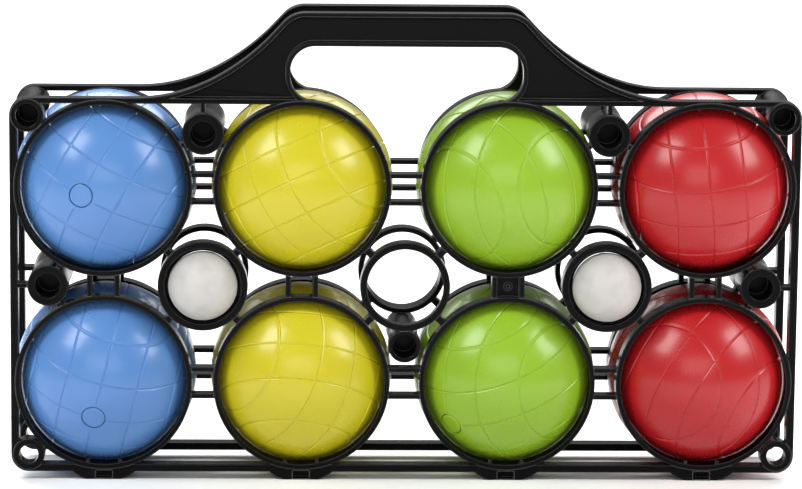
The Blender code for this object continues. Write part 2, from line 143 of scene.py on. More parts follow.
# places that follow from the frame and the sizes
ringOuter = carrier["ringBore"] + carrier["ringWall"]
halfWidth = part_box("front_frame")[1].x / mm
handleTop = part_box("front_frame")[1].z / mm
faceOuter = -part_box("front_frame")[0].y / mm
faceInner = faceOuter - carrier["ringDepth"]
railOuter = faceOuter - carrier["railSetback"]
railInner = railOuter - carrier["railDepth"]
rimTop = handleTop - handle["rise"]
rimBottom = feet["height"]
columnPitch = 2 * ball["radius"] + ball["gapOuter"]
outerColumn = halfWidth - carrier["sideMargin"] - ringOuter
innerColumn = outerColumn - columnPitch
middleColumn = (innerColumn + outerColumn) / 2
columns = (-outerColumn, -innerColumn, innerColumn, outerColumn)
upperRow = rimTop - carrier["topMargin"] - ringOuter
lowerRow = rimBottom + carrier["bottomMargin"] + ringOuter
rows = (upperRow, lowerRow)
midHeight = (upperRow + lowerRow) / 2
collarOuter = carrier["collarBore"] + carrier["collarWall"]
gripTop = handleTop - handle["bar"]
gripEnd = handle["gripWidth"] / 2 - handle["gripCorner"]
rimStart = gripEnd + handle["gripCorner"] * handle["rimTuck"]
cornerX = halfWidth - carrier["cornerRadius"]
collarPlaces = (-middleColumn, 0.0, middleColumn)


class Wire:
    # a socket that can be used in sums: each operator adds one Math node
    def __init__(self, tree, socket):
        self.tree = tree
        self.socket = socket

    def math(self, operation, *others, clamp=False):
        made = self.tree.node("ShaderNodeMath", {"operation": operation, "use_clamp": clamp})
        for slot, value in enumerate((self, *others)):
            self.tree.feed(made.inputs[slot], value)
        return Wire(self.tree, made.outputs[0])

    def __add__(self, other):
        return self.math("ADD", other)

    def __radd__(self, other):
        return self.math("ADD", other)

    def __sub__(self, other):
        return self.math("SUBTRACT", other)

    def __rsub__(self, other):
        return self.math("MULTIPLY", -1.0).math("ADD", other)

    def __mul__(self, other):
        return self.math("MULTIPLY", other)

    def __rmul__(self, other):
        return self.math("MULTIPLY", other)

    def clamped(self):
        return self.math("ADD", 0.0, clamp=True)


class Finish:
    # one material being built
    def __init__(self, name):
        self.material = bpy.data.materials.new(name)
        self.material.use_nodes = True
        self.nodes = self.material.node_tree.nodes
        self.links = self.material.node_tree.links
        self.shader = self.nodes["Principled BSDF"]

    def node(self, kind, settings=None, **values):
        made = self.nodes.new(kind)
        for key, value in (settings or {}).items():
            setattr(made, key, value)
        for key, value in values.items():
            self.feed(made.inputs[key], value)
        return made

    def feed(self, socket, value):
        if isinstance(value, Wire):
            self.links.new(value.socket, socket)
        elif isinstance(value, bpy.types.NodeSocket):
            self.links.new(value, socket)
        else:
            socket.default_value = value

    def wire(self, made, output=0):
        return Wire(self, made.outputs[output])

    def place(self):
        # the object's own coordinates, so that the finish travels with the piece
        return self.node("ShaderNodeTexCoord").outputs["Object"]

    def noise(self, scale, detail=3.0, roughness=0.5, where=None):
        made = self.node(
            "ShaderNodeTexNoise", Vector=where or self.place(),
            Scale=scale, Detail=detail, Roughness=roughness,
        )
        return self.wire(made)

    def edges(self, reach):
        # 0 on flat faces, rising to 1 along a corner within the reach of it
        rounded = self.node("ShaderNodeBevel", {"samples": 6}, Radius=reach)
        flat = self.node("ShaderNodeNewGeometry")
        turn = self.node("ShaderNodeVectorMath", {"operation": "DOT_PRODUCT"})
        self.feed(turn.inputs[0], rounded.outputs["Normal"])
        self.feed(turn.inputs[1], flat.outputs["Normal"])
        return ((1.0 - self.wire(turn, "Value")) * 9.0).clamped()

    def blend(self, share, first, second):
        made = self.node("ShaderNodeMix", {"data_type": "RGBA"})
        self.feed(made.inputs["Factor"], share)
        self.feed(made.inputs["A"], first)
        self.feed(made.inputs["B"], second)
        return made.outputs["Result"]

    def bump(self, height, strength, distance):
        made = self.node("ShaderNodeBump", Height=height, Strength=strength, Distance=distance)
        self.links.new(made.outputs["Normal"], self.shader.inputs["Normal"])

    def set(self, **values):
        for key, value in values.items():
            self.feed(self.shader.inputs[key.replace("_", " ")], value)


def blackMoulding(name, seed):
    # satin black plastic, with fine grain, flow marks and lighter rubbed patches, and a painted highlight
    # along its rounded edges
    # colour and rubbed are the plastic and its scuffs; edge is a painted highlight colour for the rounded
    # edges
    look = {"colour": (0.0022, 0.0021, 0.0024, 1), "rubbed": (0.010, 0.0095, 0.009, 1),
            "edge": (0.160, 0.157, 0.162, 1)}
    finish = Finish(name)
    grain = finish.noise(2600.0, 2.0, 0.6)
    flow = finish.noise(38.0 + seed, 4.0, 0.62)
    rubAndHighlight = finish.noise(150.0 + seed, 5.0, 0.7)
    patches = ((rubAndHighlight - 0.52) * 3.2).clamped() * ((flow - 0.42) * 3.0).clamped()
    # painted highlight: the base colour turns light grey along the rounded edges, standing in for the thin
    # bright edge reflections
    paintedEdgeHighlight = finish.edges(0.0006) * (0.55 + rubAndHighlight * 0.6)
    body = finish.blend(patches * 0.8, look["colour"], look["rubbed"])
    finish.set(
        Base_Color=finish.blend(paintedEdgeHighlight, body, look["edge"]),
        Roughness=0.17 + flow * 0.10 + patches * 0.14 + grain * 0.04,
        Specular_IOR_Level=0.06,
    )
    finish.bump(grain * 0.35 + rubAndHighlight * 0.65, 0.16, 0.00016)
    return finish.material


def ballSkin(name, colour, deep, seed):
    # glossy blow-moulded plastic: a little deeper in colour where the wall is thick
    finish = Finish(name)
    cloud = finish.noise(16.0 + seed, 3.0, 0.5)
    ripple = finish.noise(70.0 + seed, 2.0, 0.5)
    fine = finish.noise(900.0, 2.0, 0.6)
    finish.set(
        Base_Color=finish.blend(((cloud - 0.35) * 1.6).clamped() * 0.35, colour, deep),
        Roughness=0.23 + cloud * 0.07 + fine * 0.03,
        Specular_IOR_Level=0.42,
        Coat_Weight=0.06,
        Coat_Roughness=0.12,
    )
    finish.bump(ripple * 0.8 + fine * 0.06, 0.10, 0.0006)
    return finish.material


def jackSkin():
    # off-white plastic with faint mottling
    finish = Finish("jack off-white")
    mottle = finish.noise(120.0, 4.0, 0.6)
    fine = finish.noise(1500.0, 2.0, 0.6)
    finish.set(
        Base_Color=finish.blend(
            ((mottle - 0.4) * 2.5).clamped(), (0.50, 0.485, 0.465, 1), (0.42, 0.405, 0.39, 1)
        ),
        Roughness=0.42 + mottle * 0.12,
        Specular_IOR_Level=0.45,
    )
    finish.bump(mottle * 0.5 + fine * 0.5, 0.12, 0.0003)
    return finish.material


def waterSkin():
    finish = Finish("water")
    cloud = finish.noise(40.0)
    finish.set(
        Base_Color=finish.blend(cloud, (0.62, 0.74, 0.80, 1), (0.52, 0.66, 0.74, 1)),
        Roughness=0.04 + cloud * 0.03,
    )
    return finish.material


def arc(centreX, centreZ, radius, start, end, steps):
    points = []
    for step in range(steps + 1):
        angle = math.radians(start + (end - start) * step / steps)
        points.append((centreX + radius * math.cos(angle), centreZ + radius * math.sin(angle)))
    return points


def bezier(start, pullA, pullB, end, steps):
    points = []
    for step in range(steps + 1):
        t = step / steps
        weights = ((1 - t) ** 3, 3 * t * (1 - t) ** 2, 3 * t * t * (1 - t), t**3)
        points.append(
            tuple(sum(w * p[axis] for w, p in zip(weights, (start, pullA, pullB, end))) for axis in (0, 1))
        )
    return points


def strip(start, end, width):
    length = math.dist(start, end)
    sideX = -(end[1] - start[1]) / length * width / 2
    sideZ = (end[0] - start[0]) / length * width / 2
    return [
        (start[0] - sideX, start[1] - sideZ),
        (end[0] - sideX, end[1] - sideZ),
        (end[0] + sideX, end[1] + sideZ),
        (start[0] + sideX, start[1] + sideZ),
    ]


def shifted(points, distance, closed):
    # the run of points moved to its left-hand side, corner by corner
    moved = []
    count = len(points)
    for index in range(count):
        here = Vector(points[index])
        before = Vector(points[index - 1]) if closed or index > 0 else here
        after = Vector(points[(index + 1) % count]) if closed or index < count - 1 else here
        sides = []
        for way in (here - before, after - here):
            if way.length > 1e-9:
                way.normalize()
                sides.append(Vector((-way.y, way.x)))
        middle = sum(sides, Vector((0, 0))).normalized()
        moved.append(tuple(here + middle * distance / max(middle.dot(sides[0]), 0.5)))
    return moved


def counterClockwise(points):
    area = sum(
        points[i - 1][0] * points[i][1] - points[i][0] * points[i - 1][1] for i in range(len(points))
    )
    return points if area > 0 else list(reversed(points))


def roundingSteps(radius, steps=3):
    # (how far in from the edge, how far back from the face) down a rounded edge
    angles = [math.pi / 2 * step / steps for step in range(steps + 1)]
    return [(radius * (1 - math.sin(a)), radius * (1 - math.cos(a))) for a in angles]


def meshObject(name, shape):
    bmesh.ops.recalc_face_normals(shape, faces=shape.faces)
    mesh = bpy.data.meshes.new(name)
    shape.to_mesh(mesh)
    shape.free()
    made = bpy.data.objects.new(name, mesh)
    bpy.context.scene.collection.objects.link(made)
    return made


def slab(name, outline, front, back, soft=None):
    # a flat piece with its front and back edges rounded
    soft = carrier["softEdge"] if soft is None else soft
    outline = counterClockwise(outline)
    way = math.copysign(1, back - front)
    levels = [(inset, front + way * deep) for inset, deep in roundingSteps(soft)]
    levels += [(inset, back - way * deep) for inset, deep in reversed(roundingSteps(soft))]
    shape = bmesh.new()
    loops = []
    for inset, y in levels:
        loops.append([shape.verts.new((x * mm, y * mm, z * mm)) for x, z in shifted(outline, inset, True)])
    for upper, lower in zip(loops, loops[1:]):
        for i in range(len(upper)):
            shape.faces.new((upper[i - 1], upper[i], lower[i], lower[i - 1]))
    shape.faces.new(loops[0])
    shape.faces.new(loops[-1])
    shape.normal_update()
    bmesh.ops.triangulate(shape, faces=[f for f in shape.faces if len(f.verts) > 4])
    return meshObject(name, shape)


def skinned(shape, pairs, segments):
    # faces between neighbouring rings of points, where a ring may be one point on the axis
    for upper, lower in pairs:
        for i in range(segments):
            corners = [upper[i - 1], upper[i]] if len(upper) > 1 else [upper[0]]
            corners += [lower[i], lower[i - 1]] if len(lower) > 1 else [lower[0]]
            shape.faces.new(corners)


def turned(name, profile, centreX, centreZ, segments):
    # (radius, y) points turned about the Y axis; a profile that leaves the axis closes on itself
    onAxis = profile[0][0] == 0
    shape = bmesh.new()
    rings = []
    for radius, y in profile:
        if radius == 0:
            rings.append([shape.verts.new((centreX * mm, y * mm, centreZ * mm))])
            continue
        turn = [2 * math.pi * i / segments for i in range(segments)]
        rings.append([
            shape.verts.new((
                (centreX + radius * math.cos(a)) * mm, y * mm, (centreZ + radius * math.sin(a)) * mm
            ))
            for a in turn
        ])
    pairs = list(zip(rings, rings[1:]))
    if not onAxis:
        pairs.append((rings[-1], rings[0]))
    skinned(shape, pairs, segments)
    return meshObject(name, shape)


def ringProfile(bore, outer, front, back, draft=0.0):
    # a ring's section, its four edges rounded
    soft = carrier["softEdge"]
    way = math.copysign(1, back - front)
    points = []
    for inset, deep in roundingSteps(soft):
        points.append((outer - inset, front + way * deep))
    for inset, deep in reversed(roundingSteps(soft)):
        points.append((outer - inset, back - way * deep))
    for inset, deep in roundingSteps(soft):
        points.append((bore + draft + inset, back - way * deep))
    for inset, deep in reversed(roundingSteps(soft)):
        points.append((bore + inset, front + way * deep))
    return points


def joined(name, solids, cutters):
    # one closed mesh from overlapping solids, with the cutters taken out of it
    first = solids[0]
    for label, others, operation in (("join", solids[1:], "UNION"), ("cut", cutters, "DIFFERENCE")):
        if not others:
            continue
        group = bpy.data.collections.new(name + "_" + label)
        bpy.context.scene.collection.children.link(group)
        for other in others:
            group.objects.link(other)
        modifier = first.modifiers.new(label, "BOOLEAN")
        modifier.operation = operation
        modifier.operand_type = "COLLECTION"
        modifier.collection = group
        modifier.solver = "MANIFOLD"
    bpy.context.view_layer.update()
    mesh = bpy.data.meshes.new_from_object(first.evaluated_get(bpy.context.evaluated_depsgraph_get()))
    mesh.name = name
    for other in (*solids, *cutters):
        bpy.data.objects.remove(other)
    for label in ("join", "cut"):
        group = bpy.data.collections.get(name + "_" + label)
        if group:
            bpy.data.collections.remove(group)
    shape = bmesh.new()
    shape.from_mesh(mesh)
    bmesh.ops.remove_doubles(shape, verts=shape.verts, dist=1e-6)
    bmesh.ops.dissolve_degenerate(shape, edges=shape.edges, dist=1e-6)
    shape.to_mesh(mesh)
    shape.free()
    made = bpy.data.objects.new(name, mesh)
    bpy.context.scene.collection.objects.link(made)
    return made


def softShading(piece, angle):
    # smooth shading in which the large flat faces stay flat
    piece.data.shade_smooth()
    piece.data.set_sharp_from_angle(angle=math.radians(angle))
    weigh = piece.modifiers.new("flat faces first", "WEIGHTED_NORMAL")
    weigh.keep_sharp = True
    weigh.weight = 100
    bpy.context.view_layer.update()
    graph = bpy.context.evaluated_depsgraph_get()
    mesh = bpy.data.meshes.new_from_object(piece.evaluated_get(graph), depsgraph=graph)
    piece.modifiers.clear()
    piece.data = mesh


def rimPieces(front, back):
    inner = carrier["cornerRadius"] - carrier["sideRail"]
    innerTop = rimTop - carrier["topRail"]
    innerBottom = rimBottom + carrier["bottomRail"] - carrier["bottomTrim"]

    def edge(leftOut, top, bottom, radius):
        side = halfWidth - leftOut
        run = [(rimStart, top)]
        run += arc(side - radius, top - radius, radius, 90, 0, carrier["cornerSteps"])
        return run + arc(side - radius, bottom + radius, radius, 0, -90, carrier["cornerSteps"])

    outside = edge(0, rimTop, rimBottom, carrier["cornerRadius"])
    inside = edge(carrier["sideRail"], innerTop, innerBottom, inner)
    outline = outside + [(-x, z) for x, z in reversed(outside)]
    outline += [(-x, z) for x, z in inside] + list(reversed(inside))
    return [slab("rim", outline, front, back)]


def ringPieces(front, back):
    made = []
    ring = ringProfile(carrier["ringBore"], ringOuter, front, back)
    for column in columns:
        for row in rows:
            made.append(turned("ring", ring, column, row, carrier["ringSteps"]))
    for place in collarPlaces:
        section = ringProfile(carrier["collarBore"], collarOuter, front, back, carrier["collarDraft"])
        made.append(turned("collar", section, place, midHeight, carrier["collarSteps"]))
        if front < 0 and place != 0:
            # only the front's two outer collars hold a jack, so only they have a lip behind it
            outer = collarOuter - carrier["lipOverlap"]
            lip = ringProfile(carrier["lipBore"], outer, back - carrier["lipDepth"], back)
            made.append(turned("lip", lip, place, midHeight, carrier["collarSteps"]))
    return made


def ribPieces(front, back):
    made = []
    reach = ringOuter - carrier["ringWall"] / 2
    side = carrier["ribSpread"] / 2
    halfChord = math.sqrt(reach**2 - side**2)

    def bar(start, end, width):
        made.append(slab("rib", strip(start, end, width), front, back))

    def towards(start, leave, ring, width):
        start = Vector(start)
        way = Vector(ring) - start
        bar(start + way.normalized() * leave, start + way * (1 - reach / way.length), width)

    for offset in (-side, side):
        for column in columns:
            bar(
                (column + offset, lowerRow + halfChord),
                (column + offset, upperRow - halfChord),
                carrier["columnRib"],
            )
        for row in rows:
            for left, right in zip(columns, columns[1:]):
                bar((left + halfChord, row + offset), (right - halfChord, row + offset), carrier["rowRib"])
    for place in collarPlaces:
        for column in columns:
            if abs(column - place) < 2 * ball["radius"]:
                for row in rows:
                    leave = collarOuter - carrier["collarWall"] / 2
                    towards((place, midHeight), leave, (column, row), carrier["collarRib"])
    rib = carrier["bossRib"]
    for sign in (-1, 1):
        top = (sign * middleColumn, rimTop - carrier["topRail"] / 2)
        bar((top[0], upperPostZ + posts["upper"]["bore"] + posts["ribOverBore"]), top, rib)
        rail = (sign * (halfWidth - carrier["sideRail"] / 2), midHeight)
        bar((sign * (sidePostX + posts["side"]["bore"] + posts["ribOverBore"]), midHeight), rail, rib)
        for column in (innerColumn, outerColumn):
            leave = posts["upper"]["boss"] - rib / 2
            towards((sign * middleColumn, upperPostZ), leave, (sign * column, upperRow), rib)
        for row in rows:
            leave = posts["side"]["boss"] - rib / 2
            towards((sign * sidePostX, midHeight), leave, (sign * outerColumn, row), rib)
    return made


gate = {"markBore": 1.0, "markOuter": 2.1, "markRise": 1.8, "markSteps": 32, "softEdge": 0.2}


def gatePieces(front, back):
    # the closed panel between the two green balls' columns of ribs, with the round moulding mark on it
    middle = (front + back) / 2
    half = math.copysign(carrier["webThickness"] / 2, front)
    side = carrier["ribSpread"] / 2
    reach = (upperRow - lowerRow) / 2 - ringOuter + carrier["ringWall"] / 2
    web = [
        (innerColumn - side, midHeight - reach),
        (innerColumn + side, midHeight - reach),
        (innerColumn + side, midHeight + reach),
        (innerColumn - side, midHeight + reach),
    ]
    mark = ringProfile(gate["markBore"], gate["markOuter"], middle + half * gate["markRise"], middle)
    return [
        slab("web", web, middle + half, middle - half, gate["softEdge"]),
        turned("gate mark", mark, innerColumn, midHeight, gate["markSteps"]),
    ]


def footPieces(front, back):
    made = []
    for column in columns:
        half = bezier(
            (feet["top"] / 2, rimBottom),
            (feet["top"] / 2 * feet["topPull"], rimBottom * feet["shoulder"]),
            (feet["bottom"] / 2 * feet["bottomPull"], 0),
            (feet["bottom"] / 2, 0),
            feet["curveSteps"],
        )
        run = [(feet["top"] / 2, rimBottom + carrier["bottomRail"] / 2)] + half
        outline = [(column + x, z) for x, z in run + [(-x, z) for x, z in reversed(run)]]
        made.append(slab("foot", outline, front, back, feet["softEdge"]))
        # two small nubs inside the bottom of the ring
        for sign in (-1, 1):
            x = column + sign * feet["nubSpread"]
            floor = lowerRow - math.sqrt(carrier["ringBore"] ** 2 - feet["nubSpread"] ** 2)
            nub = strip((x, floor - feet["nubRoot"]), (x, floor + feet["nubHeight"]), feet["nubWidth"])
            face = front * feet["nubReach"]
            made.append(slab("nub", nub, face, (front + back) / 2, feet["nubSoftEdge"]))
    return made


def footPockets(front, back):
    made = []
    way = math.copysign(1, front)
    for column in columns:
        half = feet["pocket"] / 2
        top = rimBottom + feet["pocketOver"]
        box = [
            (column - half, feet["skin"]),
            (column + half, feet["skin"]),
            (column + half, top),
            (column - half, top),
        ]
        floor = front - way * feet["pocketDepth"]
        made.append(slab("pocket", box, front + way * overrun, floor, feet["pocketSoftEdge"]))
    return made


def handleEdge():
    # the top edge at +X, from the middle out to the rim
    turn = math.degrees(handle["slope"])
    points = [(0.0, handleTop)]
    centre = (handle["flat"] / 2, handleTop - handle["corner"])
    points += arc(*centre, handle["corner"], 90, 90 - turn, handle["cornerSteps"])
    way = Vector((math.cos(handle["slope"]), -math.sin(handle["slope"])))
    start = Vector(points[-1]) + way * handle["slopeRun"]
    end = (start.x + handle["sweepRun"], rimTop)
    pull = start + way * (start.y - rimTop) * handle["sweepStartPull"]
    level = (end[0] - handle["sweepRun"] * handle["sweepEndPull"], rimTop)
    return points + bezier(start, pull, level, end, handle["sweepSteps"])


def gripEdge():
    # the hand opening's edge at +X, from the middle of its top to the ring below
    corner = handle["gripCorner"]
    low = rimTop + corner - carrier["topMargin"] - handle["gripSink"]
    points = [(0.0, gripTop)]
    points += arc(gripEnd, gripTop - corner, corner, 90, 0, handle["gripSteps"])
    return points + arc(gripEnd, low, corner, 0, -90, handle["gripSteps"])


def handlePieces(front, back):
    edge = handleEdge()
    grip = gripEdge()
    floor = rimTop - carrier["topRail"] / 2
    foot = (edge[-1][0], floor)
    webFront = back + math.copysign(handle["web"], front)
    web = edge + [foot, (gripEnd, floor)] + list(reversed(grip))
    edgeFlange = edge + [foot] + list(reversed(shifted(edge, -handle["flange"], False)))
    gripFlange = grip + list(reversed(shifted(grip, handle["flange"], False)))
    made = []
    for sign in (-1, 1):
        for name, outline, face in (
            ("handle web", web, webFront),
            ("edge flange", edgeFlange, front),
            ("grip flange", gripFlange, front),
        ):
            # each half runs past the middle, so that the two halves join
            half = [(sign * (x if x > 0.01 else -1.0), z) for x, z in outline]
            piece = slab(name, half, face, back)
            for vertex in piece.data.vertices:
                share = max(0.0, (vertex.co.z / mm - rimTop) / handle["rise"])
                vertex.co.y -= math.copysign(handle["lean"] * share * mm, front)
            made.append(piece)
    return made


posts = {
    "corner": {"boss": 8.1, "bore": 5.4},
    "upper": {"boss": 10.2, "bore": 5.9},
    "side": {"boss": 10.0, "bore": 5.8},
    "lower": {"boss": 8.0, "bore": 5.6},
    "railGap": 4.5,
    "boreDepth": 17.5,
    "draft": 0.8,
    "ballClearance": 0.7,
    "peg": 2.7,
    "pegLength": 5.0,
    "pegPlay": 0.3,
    "pegChamfer": 0.5,
    "socketChamfer": 0.4,
    "tipGap": 0.15,
    "mouth": 0.9,
    "mouthInset": 0.35,
    "mouthDrop": 0.4,
    "collarOverlap": 0.4,
    "ribOverBore": 1,
    "boreFit": 0.02,
    "steps": 48,
}
upperPostZ = rimTop - carrier["topRail"] - posts["railGap"] - posts["upper"]["boss"]
sidePostX = halfWidth - carrier["sideRail"] - posts["railGap"] - posts["side"]["boss"]
lowerPostZ = midHeight - collarOuter - posts["lower"]["boss"] + posts["collarOverlap"]
postPlaces = (
    (-cornerX, rimTop - carrier["cornerRadius"], "corner"),
    (cornerX, rimTop - carrier["cornerRadius"], "corner"),
    (-middleColumn, upperPostZ, "upper"),
    (middleColumn, upperPostZ, "upper"),
    (-sidePostX, midHeight, "side"),
    (sidePostX, midHeight, "side"),
    (0.0, lowerPostZ, "lower"),
)


def postPieces(facing, front, back):
    # seven hollow posts: the rear ones end in a peg, the front ones in its socket
    made = []
    bores = []
    tip = facing * posts["tipGap"]
    soft = carrier["softEdge"]
    for x, z, kind in postPlaces:
        boss = posts[kind]["boss"]
        bore = posts[kind]["bore"]
        room = min(math.dist((x, z), (column, row)) for column in columns for row in rows)
        end = min(boss - posts["draft"], room - ball["radius"] - posts["ballClearance"])
        floor = front - facing * posts["boreDepth"]
        mouth = posts["mouth"]
        inset, drop = mouth * posts["mouthInset"], facing * mouth * posts["mouthDrop"]
        profile = [(0, floor), (bore, floor), (bore, front - facing * mouth)]
        profile += [(bore + inset, front - drop), (bore + mouth, front)]
        profile += [(boss - inset, front - facing * deep) for inset, deep in roundingSteps(soft)]
        profile += [(boss, back), (end, tip)]
        if facing > 0:
            peg = posts["peg"]
            reach = -posts["pegLength"]
            chamfer = posts["pegChamfer"]
            profile += [(peg, tip), (peg, reach + chamfer), (peg - chamfer, reach), (0, reach)]
        else:
            socket = posts["peg"] + posts["pegPlay"]
            reach = -posts["pegLength"] - posts["pegPlay"]
            chamfer = posts["socketChamfer"]
            profile += [(socket + chamfer, tip), (socket, tip - chamfer), (socket, reach), (0, reach)]
        made.append(turned("post", profile, x, z, posts["steps"]))
        inner, past, end = bore - posts["boreFit"], front + facing * overrun, floor + facing * 0.1
        cut = [(0, past), (inner, past), (inner, end), (0, end)]
        bores.append(turned("bore", cut, x, z, posts["steps"]))
    return made, bores


eyelet = {"bore": 4.6, "outer": 7.8, "steps": 48}


def eyeletPieces(front, back):
    z = rimBottom + carrier["cornerRadius"]
    section = ringProfile(eyelet["bore"], eyelet["outer"], front, back)
    return [turned("eyelet", section, sign * cornerX, z, eyelet["steps"]) for sign in (-1, 1)]


def carrierFrame(node, body, facing, material):
    ringFaces = (facing * faceOuter, facing * faceInner)
    railFaces = (facing * railOuter, facing * railInner)
    solids = rimPieces(*railFaces) + ringPieces(*ringFaces) + ribPieces(*railFaces)
    solids += gatePieces(*railFaces) + footPieces(*railFaces) + handlePieces(*railFaces)
    solids += eyeletPieces(*ringFaces)
    postSolids, bores = postPieces(facing, *ringFaces)
    piece = joined(node + "_moulding", solids + postSolids, bores + footPockets(*railFaces))
    softShading(piece, carrier["flatAngle"])
    piece.data.materials.clear()
    piece.data.materials.append(material)
    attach(piece, body)
    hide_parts(node)
    print(node, "done:", len(piece.data.polygons), "faces")


grooveAxes = (Vector((1, 0, 0)), Vector((0, 1, 0)))
plugFade = {"start": 0.5, "run": 1.2}  # the grooves fade out around the plug


def grooveDepth(direction):
    # how deep the surface lies at a direction, and the slope of that depth as a vector
    reach = ball["radius"]
    deepest, slope = 0.0, Vector((0, 0, 0))
    clear = math.hypot(direction.x, direction.y) * reach
    nearPlug = min(1.0, max(0.0, (clear - ball["plugRadius"] - plugFade["start"]) / plugFade["run"]))
    if direction.z < 0:
        nearPlug = 1.0
    for axis in grooveAxes:
        along = direction.dot(axis) * reach
        line = round(along / ball["grooveSpacing"])
        off = along - line * ball["grooveSpacing"]
        if abs(line) > ball["groovesEachWay"] or abs(off) > ball["grooveWidth"] / 2:
            continue
        phase = 2 * math.pi * off / ball["grooveWidth"]
        deep = ball["grooveDepth"] * 0.5 * (1 + math.cos(phase)) * nearPlug
        if deep > deepest:
            deepest = deep
            steep = -ball["grooveDepth"] * math.pi / ball["grooveWidth"] * math.sin(phase) * nearPlug
            slope = (axis - direction * axis.dot(direction)) * steep
    return deepest, slope


def grooveLines():
    # the two sets of parallel planes that the grooves are cut along
    for axis in grooveAxes:
        for line in range(-ball["groovesEachWay"], ball["groovesEachWay"] + 1):
            for part in (-0.5, -0.3, -0.15, 0, 0.15, 0.3, 0.5):
                yield axis, line * ball["grooveSpacing"] + part * ball["grooveWidth"]


def groovedMesh():
    # the mesh that all eight balls start from: a sphere cut along its grooves, then pressed in
    radius = ball["radius"]
    shape = bmesh.new()
    bmesh.ops.create_uvsphere(shape, u_segments=ball["steps"], v_segments=ball["rows"], radius=radius)
    for axis, place in grooveLines():
        everything = shape.verts[:] + shape.edges[:] + shape.faces[:]
        bmesh.ops.bisect_plane(shape, geom=everything, dist=1e-5, plane_co=axis * place, plane_no=axis)
    hole = ball["plugRadius"] + ball["plugSeam"]
    cap = [
        v for v in shape.verts
        if v.co.z > 0 and math.hypot(v.co.x, v.co.y) < hole * 0.8
    ]
    bmesh.ops.delete(shape, geom=cap, context="VERTS")
    rim = {v for e in shape.edges if e.is_boundary for v in e.verts}
    for vertex in rim:
        flat = Vector((vertex.co.x, vertex.co.y)).normalized() * hole
        vertex.co = Vector((flat.x, flat.y, math.sqrt(radius**2 - hole**2)))
    bmesh.ops.remove_doubles(shape, verts=shape.verts, dist=0.004)
    for vertex in shape.verts:
        direction = vertex.co.normalized()
        vertex.co = direction * (radius - grooveDepth(direction)[0])
    # the filler hole: a step down from its edge, and a floor
    edges = [e for e in shape.edges if e.is_boundary]
    for sink, shrink in ((ball["holeStep"], ball["holeShrink"]), (ball["plugDepth"], 0.0)):
        made = bmesh.ops.extrude_edge_only(shape, edges=edges)["geom"]
        for vertex in (g for g in made if isinstance(g, bmesh.types.BMVert)):
            flat = Vector((vertex.co.x, vertex.co.y)).normalized() * (hole - shrink)
            vertex.co = Vector((flat.x, flat.y, math.sqrt(radius**2 - hole**2) - sink))
        edges = [g for g in made if isinstance(g, bmesh.types.BMEdge)]
    bmesh.ops.holes_fill(shape, edges=edges)
    bmesh.ops.recalc_face_normals(shape, faces=shape.faces)
    # the hollow inside
    hollow = bmesh.ops.create_uvsphere(
        shape, u_segments=ball["hollowSteps"], v_segments=ball["hollowRows"], radius=radius - ball["wall"]
    )
    inside = {f for v in hollow["verts"] for f in v.link_faces}
    bmesh.ops.reverse_faces(shape, faces=list(inside))
    bmesh.ops.scale(shape, vec=(mm, mm, mm), verts=shape.verts)
    mesh = bpy.data.meshes.new("grooved ball")
    shape.to_mesh(mesh)
    shape.free()
    mesh.shade_smooth()
    mesh.set_sharp_from_angle(angle=math.radians(ball["sharpAngle"]))
    mesh.update()
    # shading follows the grooves' exact slope, free of the facets
    skin = [
        v.co.length > (radius - 0.5) * mm
        and (v.co.z < 0 or math.hypot(v.co.x, v.co.y) > (hole - 0.01) * mm)
        for v in mesh.vertices
    ]
    shading = [Vector(corner.vector) for corner in mesh.corner_normals]
    for polygon in mesh.polygons:
        if all(skin[index] for index in polygon.vertices):
            for corner in polygon.loop_indices:
                direction = mesh.vertices[mesh.loops[corner].vertex_index].co.normalized()
                shading[corner] = (direction + grooveDepth(direction)[1]).normalized()
    mesh.normals_split_custom_set(shading)
    return mesh


plug = {
    "rows": 12,
    "steps": 64,
    "dish": 0.14,
    "dishReach": 0.55,
    "edgeDrop": 0.35,
    "edgeStart": 0.86,
    "edgeRun": 0.14,
    "sharpAngle": 50,
}


def plugMesh():
    # the filler plug: a domed stopper with a rounded edge and a shallow dish in its middle
    radius, edge = ball["radius"], ball["plugRadius"]
    top = []
    for step in range(plug["rows"] + 1):
        reach = edge * step / plug["rows"]
        dish = plug["dish"] * math.exp(-((reach / (edge * plug["dishReach"])) ** 4))
        past = max(0.0, (reach - edge * plug["edgeStart"]) / (edge * plug["edgeRun"]))
        top.append((reach, math.sqrt(radius**2 - reach**2) - dish - plug["edgeDrop"] * past**2))
    bottom = radius - ball["plugDepth"] + 0.05
    profile = top + [(edge, bottom - 0.1), (0, bottom - 0.1)]
    shape = bmesh.new()
    rings = []
    for reach, height in profile:
        if reach == 0:
            rings.append([shape.verts.new((0, 0, height * mm))])
            continue
        rings.append([
            shape.verts.new((
                reach * mm * math.cos(2 * math.pi * i / plug["steps"]),
                reach * mm * math.sin(2 * math.pi * i / plug["steps"]),
                height * mm,
            ))
            for i in range(plug["steps"])
        ])
    skinned(shape, zip(rings, rings[1:]), plug["steps"])
    bmesh.ops.recalc_face_normals(shape, faces=shape.faces)
    mesh = bpy.data.meshes.new("filler plug")
    shape.to_mesh(mesh)
    shape.free()
    mesh.shade_smooth()
    mesh.set_sharp_from_angle(angle=math.radians(plug["sharpAngle"]))
    return mesh


# how each ball lies in its rings, as turns about X, Y and Z that start with its plug facing up
ballTurns = {
    "blue_upper": (92, 29, -12),
    "blue_lower": (110, 14, -1),
    "yellow_upper": (-87, -27, -30),
    "yellow_lower": (-112, 20, 31),
    "green_upper": (-167, -2, -46),
    "green_lower": (117, -1, -44),
    "red_upper": (-70, -6, 0),
    "red_lower": (178, 25, -32),
}


